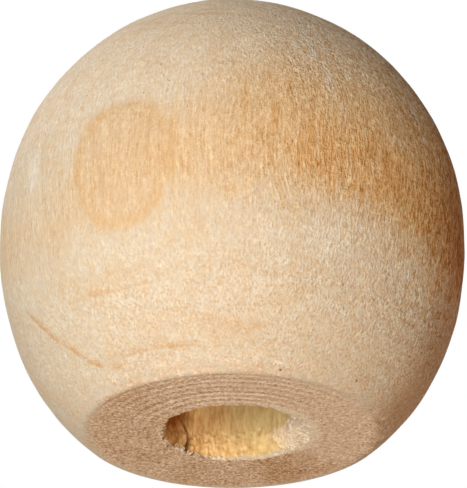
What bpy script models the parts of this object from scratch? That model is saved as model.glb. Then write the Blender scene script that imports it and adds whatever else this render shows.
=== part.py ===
# Wooden doll head: a plain turned ball with one flat, and a blind neck socket drilled into the flat.
#
# Metres, +Z up. The origin is the centre of the flat, which the head stands on, so the crown is
# at the top and the socket opens downwards. The mouth of the socket is worn towards +X. On its
# other side the lip is torn, and a splinter has started to lift off the wall beside a split.

from math import cos, hypot, pi, radians, sin, tan

import bmesh
import bpy
from mathutils import Euler, Matrix

# The turned ball
HEAD_DIAMETER = 0.0400
CROWN_RISE = 0.0210  # from the widest level up to the top
FLAT_DROP = 0.0182  # from the widest level down to the flat
FLAT_DIAMETER = 0.0250  # to where the rim would be sharp
CHEEK_FULLNESS = 2.19  # of the curve below the widest level: 2 is an ellipse, and more is squarer
RIM_ROUND = 0.0010  # radius between the flat and the cheek

# The rings that the turning tool left in the flat
RING_PITCH = 0.00085
RING_WIDTH = 0.00040
RING_DEPTH = 0.00006
RING_MARGIN = 0.00020  # left plain beside the mouth and beside the rim

# The drilled socket
BORE_DIAMETER = 0.0108
BORE_DEPTH = 0.0190  # from the flat to the shoulder of the drill's point
BORE_OFFSET = 0.00065  # how far towards -X the bore lies from the ball's axis
DRILL_POINT_ANGLE = radians(118)

# The worn mouth, as far as it reaches beyond the bore
WEAR_SIDE = 0.00195  # towards +X
WEAR_AROUND = 0.00060  # towards +Y and -Y
WEAR_DEPTH = 0.00220
WEAR_START = radians(14)  # the slope at which the worn surface leaves the flat

# The split in the wall and the splinter beside it; turns are measured from +Y towards -X
SPLIT_TURN = radians(36)  # where the split meets the mouth
SPLIT_DRIFT = radians(6)  # how far it has turned at its far end
SPLIT_LENGTH = 0.0044
SPLIT_WIDTH = 0.00040
SPLIT_DEPTH = 0.00080
SPLINTER_WIDTH = 0.00125
SPLINTER_LENGTH = 0.0038
SPLINTER_RISE = 0.00030  # how far it stands off the wall
SPLINTER_ROOT = 0.00045  # how far it reaches into the wall

# The torn lip: broken hollows of uneven size, unevenly spaced
CHIP_COUNT = 8
CHIP_FIRST_TURN = radians(56)
CHIP_LAST_TURN = radians(106)
CHIP_SIZE = 0.00082
CHIP_SPREAD = 0.40  # by how much a chip may be smaller or moved aside, as a share

# How finely round shapes are divided
BALL_SEGMENTS = 80
SOCKET_SEGMENTS = 64
CROWN_STEPS = 14
CHEEK_STEPS = 12
RIM_STEPS = 4
WEAR_STEPS = 7
SPLIT_STEPS = 7

OVERCUT = 0.0010  # how far a cutter starts outside the flat
MERGE = 0.000001


def crown_points():
    # A quarter ellipse, from the top down to just above the widest level
    radius = HEAD_DIAMETER / 2
    points = []
    for step in range(CROWN_STEPS):
        turn = pi / 2 * step / CROWN_STEPS
        points.append((radius * sin(turn), FLAT_DROP + CROWN_RISE * cos(turn)))
    return points


def cheek_point(turn):
    # A superellipse below the widest level, sized to cross the flat's height at the flat's edge
    radius = HEAD_DIAMETER / 2
    share = 1 - (FLAT_DIAMETER / HEAD_DIAMETER) ** CHEEK_FULLNESS
    reach = FLAT_DROP / share ** (1 / CHEEK_FULLNESS)
    power = 2 / CHEEK_FULLNESS
    return radius * cos(turn) ** power, FLAT_DROP - reach * sin(turn) ** power


def rim_centre(turn):
    # The centre of a circle of the rim's radius that touches the cheek from inside at this turn
    nudge = 0.0001
    before, after = cheek_point(turn - nudge), cheek_point(turn + nudge)
    along_r, along_z = after[0] - before[0], after[1] - before[1]
    length = hypot(along_r, along_z)
    r, z = cheek_point(turn)
    return r + RIM_ROUND * along_z / length, z - RIM_ROUND * along_r / length


def rim_turn():
    # The turn at which that circle also touches the flat
    low, high = 0.01, pi / 2 - 0.01
    while high - low > 1e-7:
        middle = (low + high) / 2
        if rim_centre(middle)[1] > RIM_ROUND:
            low = middle
        else:
            high = middle
    return low


def cheek_and_rim_points():
    # From the widest level down the cheek and round the rim, to where the flat starts
    end = rim_turn()
    points = [cheek_point(end * step / CHEEK_STEPS) for step in range(CHEEK_STEPS)]
    touch = cheek_point(end)
    centre_r, centre_z = rim_centre(end)
    # The rim turns from the cheek's direction to straight down
    lean = (touch[0] - centre_r) / RIM_ROUND
    fall = (centre_z - touch[1]) / RIM_ROUND
    for step in range(RIM_STEPS + 1):
        share = step / RIM_STEPS
        across, down = lean * (1 - share), fall * (1 - share) + share
        length = hypot(across, down)
        points.append((centre_r + RIM_ROUND * across / length, centre_z - RIM_ROUND * down / length))
    points[-1] = (centre_r, 0.0)
    return points


def mouth_ellipse(share):
    # Centre along X and the two half widths of the socket, from the bore (0) to the worn mouth (1)
    bore = BORE_DIAMETER / 2
    centre = -BORE_OFFSET + share * WEAR_SIDE / 2
    return centre, bore + share * WEAR_SIDE / 2, bore + share * WEAR_AROUND


def flat_points(flat_radius):
    # Across the flat to its centre, with a shallow ring at each pitch between the rim and the mouth
    centre, half_x, half_y = mouth_ellipse(1)
    inner = max(abs(centre) + half_x, half_y) + RING_MARGIN + RING_WIDTH / 2
    outer = flat_radius - RING_MARGIN - RING_WIDTH / 2
    count = int((outer - inner) / RING_PITCH) + 1
    points = []
    for ring in reversed(range(count)):
        r = inner + ring * RING_PITCH
        points.append((r + RING_WIDTH / 2, 0.0))
        points.append((r, RING_DEPTH))
        points.append((r - RING_WIDTH / 2, 0.0))
    points.append((0.0, 0.0))
    return points


def object_from(builder, name):
    # Hands a finished bmesh over to an object, with every face turned outwards
    bmesh.ops.remove_doubles(builder, verts=builder.verts, dist=MERGE)
    bmesh.ops.recalc_face_normals(builder, faces=builder.faces)
    mesh = bpy.data.meshes.new(name)
    builder.to_mesh(mesh)
    builder.free()
    made = bpy.data.objects.new(name, mesh)
    bpy.context.scene.collection.objects.link(made)
    return made


def turned_ball():
    outline = crown_points() + cheek_and_rim_points()
    outline += flat_points(outline[-1][0])
    builder = bmesh.new()
    dots = [builder.verts.new((r, 0, z)) for r, z in outline]
    edges = [builder.edges.new(pair) for pair in zip(dots, dots[1:])]
    bmesh.ops.spin(
        builder,
        geom=dots + edges,
        cent=(0, 0, 0),
        axis=(0, 0, 1),
        angle=2 * pi,
        steps=BALL_SEGMENTS,
    )
    return object_from(builder, "doll_head")


def lofted(name, rings, point_rise=0.0):
    # A closed solid through rings of points; its last end can rise to a point
    builder = bmesh.new()
    loops = [[builder.verts.new(point) for point in ring] for ring in rings]
    for lower, upper in zip(loops, loops[1:]):
        for i, dot in enumerate(lower):
            builder.faces.new((lower[i - 1], dot, upper[i], upper[i - 1]))
    builder.faces.new(loops[0])
    end = builder.faces.new(loops[-1])
    if point_rise:
        tip = bmesh.ops.poke(builder, faces=[end])["verts"][0]
        tip.co.z += point_rise
    return object_from(builder, name)


def socket_ring(share, z):
    centre, half_x, half_y = mouth_ellipse(share)
    ring = []
    for step in range(SOCKET_SEGMENTS):
        turn = 2 * pi * step / SOCKET_SEGMENTS
        ring.append((centre + half_x * cos(turn), half_y * sin(turn), z))
    return ring


def socket_cutter():
    # The worn mouth curls in from the flat to the bore wall, then the bore runs up to the drill's point
    rings = []
    for step in range(WEAR_STEPS + 1):
        slope = WEAR_START + (pi / 2 - WEAR_START) * step / WEAR_STEPS
        share = (1 - sin(slope)) / (1 - sin(WEAR_START))
        z = WEAR_DEPTH * (cos(WEAR_START) - cos(slope)) / cos(WEAR_START)
        rings.append(socket_ring(share, z))
    rings.insert(0, socket_ring(1, -OVERCUT))
    rings.append(socket_ring(0, BORE_DEPTH))
    return lofted("socket_cutter", rings, BORE_DIAMETER / 2 / tan(DRILL_POINT_ANGLE / 2))


def wall_point(turn, outwards, z):
    # A point of the bore wall, moved outwards into the wood or, if negative, into the hole
    reach = BORE_DIAMETER / 2 + outwards
    return -BORE_OFFSET - reach * sin(turn), reach * cos(turn), z


def split_turn(share):
    return SPLIT_TURN + SPLIT_DRIFT * share ** 2


def split_cutter():
    # A wedge-shaped crack that narrows as it climbs the wall
    rings = []
    for step in range(SPLIT_STEPS + 1):
        share = step / SPLIT_STEPS
        turn = split_turn(share)
        half = SPLIT_WIDTH / BORE_DIAMETER * (1 - 0.75 * share)
        deep = SPLIT_DEPTH * (1 - 0.5 * share)
        z = share * SPLIT_LENGTH - (OVERCUT if step == 0 else 0)
        rings.append(
            [
                wall_point(turn - half, -SPLINTER_RISE * 1.5, z),
                wall_point(turn + half, -SPLINTER_RISE * 1.5, z),
                wall_point(turn + half * 0.6, deep, z),
            ]
        )
    return lofted("split_cutter", rings)


def splinter():
    # A rounded sliver of the wall, widest at the mouth, that lies along the split
    rings = []
    for step in range(SPLIT_STEPS + 1):
        share = step / SPLIT_STEPS
        near = split_turn(share * SPLINTER_LENGTH / SPLIT_LENGTH)
        wide = SPLINTER_WIDTH / (BORE_DIAMETER / 2) * (1 - 0.55 * share)
        rise = SPLINTER_RISE * (1 - share ** 2)
        z = WEAR_DEPTH * 0.1 + share * SPLINTER_LENGTH
        ring = [wall_point(near + wide, SPLINTER_ROOT, z), wall_point(near, SPLINTER_ROOT, z)]
        for corner in range(5):
            across = corner / 4
            ring.append(wall_point(near + wide * across, -rise * sin(pi * across) - MERGE * 10, z))
        rings.append(ring)
    return lofted("splinter", rings)


def chip_cutter():
    # Small broken hollows along the torn side of the lip, each a pebble turned its own way
    builder = bmesh.new()
    centre, half_x, half_y = mouth_ellipse(1)
    pitch = (CHIP_LAST_TURN - CHIP_FIRST_TURN) / (CHIP_COUNT - 1)
    for chip in range(CHIP_COUNT):
        turn = CHIP_FIRST_TURN + pitch * (chip + CHIP_SPREAD * sin(5 * chip))
        size = CHIP_SIZE / 2 * (1 - CHIP_SPREAD * abs(sin(2 * chip + 1)))
        place = Matrix.Translation((centre - half_x * sin(turn), half_y * cos(turn), size * 0.2))
        tilt = Euler((0.5 * sin(3 * chip), 0.5 * cos(4 * chip), turn + 0.4 * sin(7 * chip))).to_matrix()
        pebble = Matrix.Diagonal((0.75, 1.2, 1.0, 1.0))
        bmesh.ops.create_icosphere(
            builder, subdivisions=1, radius=size, matrix=place @ tilt.to_4x4() @ pebble
        )
    return object_from(builder, "chip_cutter")


def combine(body, tool, operation, overlapping=False):
    # The tool stays in the scene as a wire guide that no render shows; its own shapes may overlap
    tool.hide_render = True
    tool.display_type = "WIRE"
    step = body.modifiers.new(tool.name, "BOOLEAN")
    step.operation = operation
    step.solver = "EXACT"
    step.use_self = overlapping
    step.object = tool


def wood():
    material = bpy.data.materials.new("raw_birch")
    material.use_nodes = True
    shader = material.node_tree.nodes["Principled BSDF"]
    shader.inputs["Base Color"].default_value = (0.72, 0.52, 0.33, 1)
    shader.inputs["Roughness"].default_value = 0.62
    shader.inputs["Metallic"].default_value = 0.0
    return material


def finish_smooth(body):
    # Takes the cuts into the mesh, so that the edges they leave can be kept crisp
    bpy.context.view_layer.update()
    graph = bpy.context.evaluated_depsgraph_get()
    cut_mesh = bpy.data.meshes.new_from_object(body.evaluated_get(graph))
    body.modifiers.clear()
    body.data = cut_mesh
    body.data.shade_smooth()
    body.data.set_sharp_from_angle(angle=radians(25))


def build():
    for old in list(bpy.data.objects):
        bpy.data.objects.remove(old, do_unlink=True)
    head = turned_ball()
    combine(head, socket_cutter(), "DIFFERENCE")
    combine(head, splinter(), "UNION")
    combine(head, split_cutter(), "DIFFERENCE")
    combine(head, chip_cutter(), "DIFFERENCE", overlapping=True)
    finish_smooth(head)
    head.data.materials.clear()
    head.data.materials.append(wood())


build()
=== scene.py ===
import math

import bmesh
import bpy
import numpy as np
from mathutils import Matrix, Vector


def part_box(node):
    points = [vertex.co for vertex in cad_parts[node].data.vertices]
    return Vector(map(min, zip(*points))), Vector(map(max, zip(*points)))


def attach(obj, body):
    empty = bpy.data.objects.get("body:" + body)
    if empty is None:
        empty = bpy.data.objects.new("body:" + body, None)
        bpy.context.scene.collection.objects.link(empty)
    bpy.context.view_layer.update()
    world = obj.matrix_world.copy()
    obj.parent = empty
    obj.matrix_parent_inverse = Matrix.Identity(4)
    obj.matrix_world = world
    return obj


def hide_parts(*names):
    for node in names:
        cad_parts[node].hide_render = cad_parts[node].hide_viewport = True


# Looks of a plain turned doll head in raw birch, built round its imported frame
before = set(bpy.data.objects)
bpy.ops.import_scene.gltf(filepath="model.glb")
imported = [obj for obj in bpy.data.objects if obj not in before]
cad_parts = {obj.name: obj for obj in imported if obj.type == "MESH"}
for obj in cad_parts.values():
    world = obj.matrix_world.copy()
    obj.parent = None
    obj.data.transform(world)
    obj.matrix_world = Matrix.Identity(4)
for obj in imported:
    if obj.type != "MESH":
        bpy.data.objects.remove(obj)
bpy.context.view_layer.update()        # one body, root, that carries one node, doll_head

mm = 0.001
headLow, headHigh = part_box("doll_head")
headRadius = (headHigh.x - headLow.x) / 2 / mm
headHeight = (headHigh.z - headLow.z) / mm
scene = bpy.context.scene


# Helpers

def addNode(tree, kind, inputs=(), **settings):
    # One node with its own settings. An input takes a value, a socket, or a node for its first live output
    node = tree.nodes.new(kind)
    for name, value in settings.items():
        setattr(node, name, value)
    pairs = inputs.items() if isinstance(inputs, dict) else enumerate(inputs)
    for key, value in pairs:
        if value is None:
            continue
        if isinstance(value, bpy.types.Node):
            value = next(socket for socket in value.outputs if socket.enabled)
        if isinstance(value, bpy.types.NodeSocket):
            tree.links.new(value, node.inputs[key])
        else:
            node.inputs[key].default_value = value
    return node


def colour(hexCode):
    # sRGB hex to the linear values that Blender works with
    parts = [int(hexCode[i:i + 2], 16) / 255 for i in (0, 2, 4)]
    return [c / 12.92 if c <= 0.04045 else ((c + 0.055) / 1.055) ** 2.4 for c in parts] + [1.0]


def smoothStep(low, high, value):
    t = np.clip((value - low) / (high - low), 0, 1)
    return t * t * (3 - 2 * t)


def facing(turn, tilt):
    # The direction so many degrees round from the front towards the right, and so many up
    turn, tilt = math.radians(turn), math.radians(tilt)
    return Vector((math.sin(turn) * math.cos(tilt), -math.cos(turn) * math.cos(tilt), math.sin(tilt)))


def addObject(name, data):
    made = bpy.data.objects.new(name, data)
    scene.collection.objects.link(made)
    return made


def startFinish(name):
    # A material and its tree, still empty
    finish = bpy.data.materials.new(name)
    finish.use_nodes = True
    finish.node_tree.nodes.clear()
    return finish, finish.node_tree


def startTree(name, sizes):
    # A geometry tree with one named input for each size, and the values by socket identifier
    tree = bpy.data.node_groups.new(name, "GeometryNodeTree")
    tree.interface.new_socket("Geometry", in_out="INPUT", socket_type="NodeSocketGeometry")
    values = {}
    for label, value in sizes.items():
        kind = "NodeSocketFloat"
        if isinstance(value, int):
            kind = "NodeSocketInt"
        if isinstance(value, bpy.types.Material):
            kind = "NodeSocketMaterial"
        socket = tree.interface.new_socket(label, in_out="INPUT", socket_type=kind)
        values[socket.identifier] = value
    tree.interface.new_socket("Geometry", in_out="OUTPUT", socket_type="NodeSocketGeometry")
    return tree, addNode(tree, "NodeGroupInput").outputs, values


def growPiece(name, base, tree, values):
    # Run the tree on a base mesh, keep the plain mesh that comes out and drop the modifier
    piece = addObject(name, base)
    modifier = piece.modifiers.new("shape", "NODES")
    modifier.node_group = tree
    for identifier, value in values.items():
        modifier[identifier] = value
    evaluated = piece.evaluated_get(bpy.context.evaluated_depsgraph_get())
    made = bpy.data.meshes.new_from_object(evaluated)
    piece.modifiers.clear()
    piece.data = made
    made.name = name
    return piece


def meshPoints(mesh):
    points = np.empty(len(mesh.vertices) * 3)
    mesh.vertices.foreach_get("co", points)
    return points.reshape(-1, 3) / mm


def storeValues(mesh, name, values):
    if name in mesh.attributes:
        mesh.attributes.remove(mesh.attributes[name])
    layer = mesh.attributes.new(name, "FLOAT", "POINT")
    layer.data.foreach_set("value", np.asarray(values, dtype=np.float32))


# The turned form in millimetres: the curves of the frame's solid, drawn far finer

headForm = {
    "flatDrop": 18.2,  # widest level down to the flat
    "flatDiameter": 25.0,
    "cheekFullness": 2.19,
    "rimRound": 1.0,
    "firstRing": 7.05,  # radius of the innermost ring that the lathe tool left on the flat
    "ringPitch": 0.85,
    "crownRings": 80,
    "cheekRings": 50,
    "rimRings": 6,
    "flatRings": 52,
}

socketForm = {
    "diameter": 10.8,
    "depth": 19.0,
    "offset": 0.65,  # towards -X
    "pointAngle": math.radians(118),
    "wearSide": 1.95,  # how far the worn mouth reaches past the bore towards +X
    "wearAround": 0.60,
    "wearDepth": 2.2,
    "wearStart": math.radians(14),
    "lipRings": 22,
    "wallRings": 40,
    "deepRings": 12,
}


def cheekPoint(turn):
    power = 2 / headForm["cheekFullness"]
    share = 1 - (headForm["flatDiameter"] / 2 / headRadius) ** headForm["cheekFullness"]
    reach = headForm["flatDrop"] / share ** (1 / headForm["cheekFullness"])
    return np.array([
        headRadius * np.cos(turn) ** power,
        headForm["flatDrop"] - reach * np.sin(turn) ** power,
    ])


def rimCentre(turn):
    along = cheekPoint(turn + 1e-4) - cheekPoint(turn - 1e-4)
    along /= np.linalg.norm(along)
    return cheekPoint(turn) + headForm["rimRound"] * np.array([along[1], -along[0]])


def cheekOutline():
    # Down the cheek and round the rim, to where the flat starts
    low, high = 0.01, math.pi / 2 - 0.01
    for halving in range(40):
        middle = (low + high) / 2
        if rimCentre(middle)[1] > headForm["rimRound"]:
            low = middle
        else:
            high = middle
    # Even steps along the curve, as equal turns would crowd together at the widest level
    fine = np.array([cheekPoint(t) for t in np.linspace(0, low, 400)])
    run = np.r_[0, np.cumsum(np.linalg.norm(np.diff(fine, axis=0), axis=1))]
    steps = np.linspace(0, run[-1], headForm["cheekRings"], endpoint=False)
    cheek = np.c_[np.interp(steps, run, fine[:, 0]), np.interp(steps, run, fine[:, 1])]
    centre, touch = rimCentre(low), cheekPoint(low)
    start = math.atan2(touch[1] - centre[1], touch[0] - centre[0])
    turns = np.linspace(start, -math.pi / 2, headForm["rimRings"])
    rim = centre + headForm["rimRound"] * np.c_[np.cos(turns), np.sin(turns)]
    return np.vstack([cheek, rim]), centre[0]


def mouthEllipse(share):
    bore = socketForm["diameter"] / 2
    return (
        -socketForm["offset"] + share * socketForm["wearSide"] / 2,
        bore + share * socketForm["wearSide"] / 2,
        bore + share * socketForm["wearAround"],
    )


def headRings():
    # One row for each ring: centre along X, half widths along X and Y, height, and zone:
    # 0 ball, 1 flat, 2 worn mouth, 3 wall, 4 drill point
    rings = []
    rise = headHeight - headForm["flatDrop"]
    for turn in np.linspace(0, math.pi / 2, headForm["crownRings"], endpoint=False):
        r = headRadius * math.sin(turn)
        rings.append((0, r, r, headForm["flatDrop"] + rise * math.cos(turn), 0))
    cheek, flatRadius = cheekOutline()
    for r, z in cheek:
        rings.append((0, r, r, z, 0))
    centre, halfX, halfY = mouthEllipse(1)
    for share in np.linspace(0, 1, headForm["flatRings"] + 1)[1:]:
        rings.append((
            centre * share,
            flatRadius + (halfX - flatRadius) * share,
            flatRadius + (halfY - flatRadius) * share,
            0, 1,
        ))
    start = socketForm["wearStart"]
    for slope in np.linspace(start, math.pi / 2, socketForm["lipRings"])[1:]:
        share = (1 - math.sin(slope)) / (1 - math.sin(start))
        z = socketForm["wearDepth"] * (math.cos(start) - math.cos(slope)) / math.cos(start)
        rings.append((*mouthEllipse(share), z, 2))
    bore = mouthEllipse(0)
    for z in np.linspace(rings[-1][3], 7.5, socketForm["wallRings"] + 1)[1:]:
        rings.append((*bore, z, 3))
    for z in np.linspace(7.5, socketForm["depth"], socketForm["deepRings"] + 1)[1:]:
        rings.append((*bore, z, 3))
    pointRise = bore[1] / math.tan(socketForm["pointAngle"] / 2)
    for share in np.linspace(0, 1, 7)[1:]:
        z = socketForm["depth"] + pointRise * share
        rings.append((bore[0], bore[1] * (1 - share), bore[2] * (1 - share), z, 4))
    return np.array(rings)


# Raw birch, turned and lightly sanded: matt, straight fibres along Z that show as fine streaks at
# the widest level, as short dashes where the turning cuts across them, and as mottled browner end
# grain on the flat. The bore is fresh-cut yellow wood, with painted shade deep down and on its left, and
# painted light deep on its right

woodLook = {
    "pale": "dfd1bb",
    "crown": "ead9c1",
    "tanTail": "e4c294",
    "bandPeach": "e1c199",
    "bandOrange": "e6c292",
    "goldStroke": "d9a66a",
    "rustStroke": "c8804e",
    "tanMottle": "dcbc8e",
    "ringLine": "d0a26a",
    "eyeLine": "dcb37a",
    "whitish": "e8dfd0",
    # Multiplied over the right side: partly the wood's own redder tone there, partly painted shade
    "rightTintAndShade": "dec3b2",  # multiplies, as the next three do
    # Multiplied in soft patches on the upper right: painted shade
    "rightShadePatches": "cab4a2",
    "warmPatch": "fffdf8",
    "coolPatch": "fdfeff",
    "endGrain": "eaceb1",
    "endGrainBrown": "d0ab86",
    # Near the lip the right wall is painted darker and deep down lighter, painted shade and painted light;
    # the dark wall colour is painted shade on the left and deep down
    "wallRight": "f3d496",
    "wallDeepLit": "ffe7a6",
    "wallLeft": "fcd496",
    "wallShade": "a2622e",
    "wornPale": "faead4",
    # Painted shade inside the split and the torn grooves
    "cracks": "5a300f",
    "pores": "d4ae86",
    "specks": "6e4e38",
}

# Width of a feature in mm, its length along the fibres in widths, detail and roughness. The finest
# fibres of birch are 0.02 mm wide: they are drawn from 0.12 mm up, the least that shows
woodPatterns = {
    "longFibre": (0.16, 25.0, 2.0, 0.60),
    "wideFibre": (0.60, 30.0, 3.0, 0.60),
    "dash": (0.17, 4.0, 2.0, 0.65),
    "grit": (0.12, 3.6, 1.0, 0.60),
    "shag": (0.40, 1.7, 3.0, 0.62),
    "streak": (0.30, 14.0, 2.0, 0.60),
    "ragged": (0.55, 12.0, 2.0, 0.60),
    "stroke": (0.50, 9.0, 3.0, 0.70),
    "fleck": (0.20, 1.0, 2.0, 0.65),
    "hue": (0.75, 1.6, 2.0, 0.60),
    "blotch": (1.0, 1.0, 3.0, 0.65),
    "mottle": (2.9, 1.0, 4.0, 0.62),
    "wander": (4.5, 1.0, 2.0, 0.50),
    "fibreEnd": (0.36, 1.0, 3.0, 0.70),
    "speckle": (0.20, 1.3, 1.0, 0.50),
    "row": (3.2, 0.14, 2.0, 0.60),
    "wallFibre": (0.45, 6.0, 3.0, 0.65),
}

# So much of each pattern in an edge, in the tone of a surface and in its relief
woodMix = {
    "bandEdge": (("ragged", 1.0), ("blotch", 1.3), ("dash", 0.6)),
    "lineEdge": (("dash", 0.20), ("wander", 0.3), ("blotch", 0.3)),
    "flatEdge": (("dash", 0.5), ("blotch", 1.0), ("hue", 0.7), ("fleck", 0.5)),
    "wornEdge": (("fleck", 1.8), ("dash", 0.9), ("blotch", 1.2)),
    "calm": (("longFibre", 0.40), ("dash", 0.60), ("fleck", 0.40), ("wideFibre", 0.25)),
    "streaks": (("streak", 0.22), ("longFibre", 0.22)),
    "rougher": (
        ("shag", 1.5), ("fleck", 1.0), ("dash", 1.5), ("grit", 0.8), ("hue", 0.6), ("wideFibre", 0.4),
    ),
    "pores": (("speckle", 1.3), ("row", 0.9)),
    "turnedRings": (("wander", 0.5), ("blotch", 0.30), ("fleck", 0.20)),
    "flat": (("fibreEnd", 2.3), ("fleck", 1.6), ("blotch", 0.4), ("hue", 0.5)),
    "flatBrown": (("mottle", 1.4), ("hue", 0.5)),
    "wall": (("wallFibre", 2.6), ("dash", 1.4), ("blotch", 0.8)),
    "worn": (("fleck", 3.2), ("dash", 1.8)),
    "calmRelief": (("dash", 0.42), ("fleck", 0.45), ("longFibre", 0.22)),
    "coarseRelief": (("dash", 1.5), ("fleck", 1.0), ("grit", 0.8), ("shag", 1.4)),
}

# Factors on the linear colour where a tone is darkest and lightest
woodTone = {
    "side": ((0.70, 0.44, 0.14), (1.30, 1.56, 1.86)),
    "flat": ((0.60, 0.40, 0.20), (1.40, 1.60, 1.80)),
    "wall": ((0.72, 0.60, 0.40), (1.24, 1.34, 1.50)),
    "worn": ((0.76, 0.67, 0.52), (1.06, 1.06, 1.06)),
}

# Separate marks: width in mm, length in widths, reach in cells, and the share of the cells that have one
woodMarks = {
    # Painted highlights on raised fibres and painted shade in the gaps, each also part of the relief
    "raisedFibreHighlights": (0.36, 2.6, 0.44, 0.45),
    "gapShade": (0.32, 2.4, 0.44, 0.45),
    "fibreTips": (0.55, 1.0, 0.40, 0.32),
}

# Bare sanded wood has next to no shine: the low specular level keeps the fibres' own colour
woodSurface = {"reliefDepth": 0.16, "shine": 0.03, "smoothest": 0.62, "roughest": 0.76}

# Growth rings: nearly flat sheets across the wood, square to a line 27 degrees left of the camera and
# 3.3 degrees down. The outermost one is cut to a round eye
ringForm = {"turn": -27.0, "tilt": -3.3, "firstRing": 19.52, "pitch": 2.5}

# Small dark specks: place from the middle of the widest level, and radius, in mm
specks = (
    (-5.8, -18.0, 6.8, 0.13), (-7.2, -18.3, 4.0, 0.10), (-5.1, -18.8, 4.8, 0.08), (-3.6, -19.6, 1.9, 0.08),
    (3.8, -12.3, -17.9, 0.15), (10.0, -9.0, -17.4, 0.14), (5.9, 8.3, -18.2, 0.17), (6.3, 8.2, -18.2, 0.12),
    (11.4, -1.9, -18.2, 0.08), (-11.96, -15.15, 5.51, 0.06), (-11.87, -15.13, 5.75, 0.06),
    (-11.77, -15.12, 6.00, 0.06), (-11.64, -15.14, 6.22, 0.05), (-11.49, -15.18, 6.44, 0.05),
)

material, tree = startFinish("rawBirch")
place = addNode(tree, "ShaderNodeVectorMath", {
    0: addNode(tree, "ShaderNodeTexCoord").outputs["Object"], "Scale": 1 / mm,
}, operation="SCALE")
drift = addNode(tree, "ShaderNodeTexNoise", {"Vector": place, "Scale": 0.10, "Detail": 1.0}).outputs["Color"]
drift = addNode(tree, "ShaderNodeVectorMath", [drift, (0.5, 0.5, 0.5)], operation="SUBTRACT")
drift = addNode(tree, "ShaderNodeVectorMath", [drift, (1.0, 1.0, 0.0), place], operation="MULTIPLY_ADD")
noise = {}
for name, (featureWidth, featureLength, detail, roughness) in woodPatterns.items():
    steps = [1 / featureWidth, 1 / featureWidth, 1 / (featureWidth * featureLength)]
    stretched = addNode(tree, "ShaderNodeVectorMath", [drift, steps], operation="MULTIPLY")
    noise[name] = addNode(tree, "ShaderNodeTexNoise", {
        "Vector": stretched, "Scale": 1.0, "Detail": detail, "Roughness": roughness,
    }).outputs[0]
field = {}
for name in (
    "bandField", "bandStrength", "bandTone", "tanTail", "strokes", "whitish", "warmTone", "rightShadePatches",
    "ringStrength", "lineOffset", "lineStrength", "rightTintAndShade", "rough", "calm", "pores", "lively", "onFlat",
    "turnedRings", "flatBrown", "tips", "inWall", "wallTurn", "deepRightLight", "shaded", "worn", "crack",
):
    field[name] = addNode(tree, "ShaderNodeAttribute", attribute_name=name).outputs["Fac"]


def stirred(value, *patterns):
    # The value with so much of each noise, taken about its middle, added to it
    for name, amount in patterns:
        centred = addNode(tree, "ShaderNodeMath", [noise[name], 0.5], operation="SUBTRACT")
        value = addNode(tree, "ShaderNodeMath", [centred, amount, value], operation="MULTIPLY_ADD")
    return value


def within(value, *patterns):
    # As above, but only where the value is more than 0, so that nothing shows elsewhere
    gate = addNode(tree, "ShaderNodeMapRange", [value, 0.0, 0.15, 0.0, 1.0])
    return addNode(tree, "ShaderNodeMath", [stirred(0.0, *patterns), gate, value], operation="MULTIPLY_ADD")


def toned(tint, tone, dark, light):
    # The tint darkened where the tone is 0 and lightened where it is 1, by factors on its linear colour
    factor = addNode(tree, "ShaderNodeMix", {0: tone, 6: [*dark, 1.0], 7: [*light, 1.0]}, data_type="RGBA")
    return addNode(tree, "ShaderNodeVectorMath", [tint, factor], operation="MULTIPLY")


def layered(surface, layers):
    # One tint over another, each where its value goes from low to high
    for value, low, high, strength, tint in layers:
        mask = addNode(tree, "ShaderNodeMapRange", [value, low, high, 0.0, strength],
                       interpolation_type="SMOOTHSTEP")
        tint = colour(tint) if isinstance(tint, str) else tint
        surface = addNode(tree, "ShaderNodeMix", {0: mask, 6: surface, 7: tint}, data_type="RGBA")
    return surface


def scattered(width, length, reach, share):
    # Separate marks along the fibres, of random strength, in about so large a share of their cells
    steps = [1 / width, 1 / width, 1 / (width * length)]
    stretched = addNode(tree, "ShaderNodeVectorMath", [drift, steps], operation="MULTIPLY")
    cells = addNode(tree, "ShaderNodeTexVoronoi", {"Vector": stretched, "Scale": 1.0}).outputs
    picked = addNode(tree, "ShaderNodeSeparateColor", [cells["Color"]])
    picked = addNode(tree, "ShaderNodeMapRange", [picked, 1 - share, 1.0, 0.0, 1.0])
    return addNode(tree, "ShaderNodeMapRange", [cells["Distance"], reach, reach * 0.3, 0.0, picked],
                   interpolation_type="SMOOTHSTEP")


middle = addNode(tree, "ShaderNodeVectorMath", [place, (0, 0, headForm["flatDrop"])], operation="SUBTRACT")
rise = addNode(tree, "ShaderNodeSeparateXYZ", [middle]).outputs["Z"]

# Equator band: the field is 1 on its middle line and 0 at its edges, which the fibres make ragged
bandValue = stirred(field["bandField"], *woodMix["bandEdge"])
bandTint = layered(colour(woodLook["bandPeach"]), [(field["bandTone"], 0, 1, 1, woodLook["bandOrange"])])
inBand = addNode(tree, "ShaderNodeMapRange", [bandValue, -0.4, 0.5, 0.0, field["strokes"]])
gold = addNode(tree, "ShaderNodeMath", [noise["stroke"], inBand], operation="MULTIPLY")
rust = addNode(tree, "ShaderNodeMath", [noise["wideFibre"], inBand], operation="MULTIPLY")
rust = addNode(tree, "ShaderNodeMath", [rust, field["rightTintAndShade"]], operation="MULTIPLY")

# Growth rings: how far across them a point lies, and its share of the way to the next one
square = facing(ringForm["turn"], ringForm["tilt"])
across = addNode(tree, "ShaderNodeVectorMath", [middle, square], operation="DOT_PRODUCT").outputs["Value"]
across = stirred(across, ("wander", 0.5))
ringShare = addNode(tree, "ShaderNodeMath", [across, ringForm["firstRing"]], operation="SUBTRACT")
ringShare = addNode(tree, "ShaderNodeMath", [ringShare, ringForm["pitch"]], operation="DIVIDE")
ringShare = addNode(tree, "ShaderNodeMath", [ringShare], operation="FRACT")
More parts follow.
